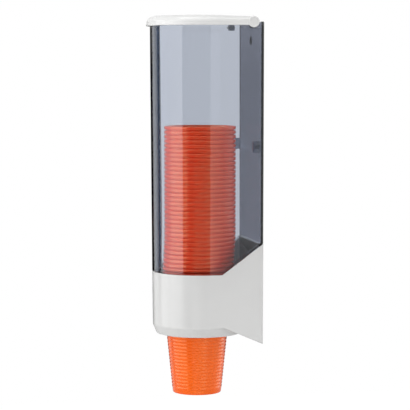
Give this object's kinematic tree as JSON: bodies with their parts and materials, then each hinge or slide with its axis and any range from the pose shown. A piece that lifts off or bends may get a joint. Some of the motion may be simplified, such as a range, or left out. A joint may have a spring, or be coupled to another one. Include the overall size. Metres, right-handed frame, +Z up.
{
  "type": "cup dispenser",
  "caption": "Wall-mounted cup dispenser: white base with throat and finger ring, smoked D-shaped magazine, hinged lid, nested orange cups hanging rim to rim.",
  "frame": {"origin": "on the back plate's wall face, on the centre plane, at the height of the lower rim of the cup outlet", "axes": "+Z up along the cup column, +Y into the wall, +X to the left of someone who faces away from the wall"},
  "size_m": [0.1066, 0.1065, 0.3716],
  "materials": {
    "white_plastic": "satin moulded",
    "smoked_plastic": "clear smoked, polished",
    "elastomer": "matte",
    "clamp_plastic": "moulded",
    "steel": "zinc plated",
    "cup_plastic": "thin, slightly translucent"
  },
  "bodies": {
    "housing": {"base_housing": "white_plastic", "smoked_magazine": "smoked_plastic", "retaining_ring": "elastomer", "clamp_ring": "clamp_plastic", "clamp_screw_1": "steel", "clamp_screw_2": "steel", "clamp_screw_3": "steel", "clamp_screw_4": "steel", "magazine_screw_left": "steel", "magazine_screw_right": "steel"},
    "lid": {"lid": "white_plastic"},
    "lowest_cup": {"cup_01": "cup_plastic"},
    "cup_column": {"cup_02": "cup_plastic", "cup_03": "cup_plastic", "cup_04": "cup_plastic", "cup_05": "cup_plastic", "cup_06": "cup_plastic", "cup_07": "cup_plastic", "cup_08": "cup_plastic", "cup_09": "cup_plastic", "cup_10": "cup_plastic", "cup_11": "cup_plastic", "cup_12": "cup_plastic", "cup_13": "cup_plastic", "cup_14": "cup_plastic", "cup_15": "cup_plastic", "cup_16": "cup_plastic", "cup_17": "cup_plastic", "cup_18": "cup_plastic", "cup_19": "cup_plastic", "cup_20": "cup_plastic", "cup_21": "cup_plastic", "cup_22": "cup_plastic", "cup_23": "cup_plastic", "cup_24": "cup_plastic", "cup_25": "cup_plastic", "cup_26": "cup_plastic", "cup_27": "cup_plastic", "cup_28": "cup_plastic", "cup_29": "cup_plastic", "cup_30": "cup_plastic", "cup_31": "cup_plastic", "cup_32": "cup_plastic", "cup_33": "cup_plastic", "cup_34": "cup_plastic", "cup_35": "cup_plastic", "cup_36": "cup_plastic", "cup_37": "cup_plastic", "cup_38": "cup_plastic", "cup_39": "cup_plastic", "cup_40": "cup_plastic"}
  },
  "joints": [
    {"name": "lid_hinge", "type": "hinge", "parent": "housing", "child": "lid", "pos_m": [0, -0.0115, 0.3057], "axis": [-1, 0, 0], "range_deg": [0, 90]},
    {"name": "cup_draw", "type": "slide", "parent": "housing", "child": "lowest_cup", "axis": [0, 0, -1], "range_m": [0, 0.1], "deforming": ["retaining_ring"]},
    {"name": "column_feed", "type": "slide", "parent": "housing", "child": "cup_column", "axis": [0, 0, -1], "range_m": [0, 0.00434]}
  ],
  "couplings": [
    {"joint": "column_feed", "follows": "cup_draw", "ratio": 0.04337}
  ]
}
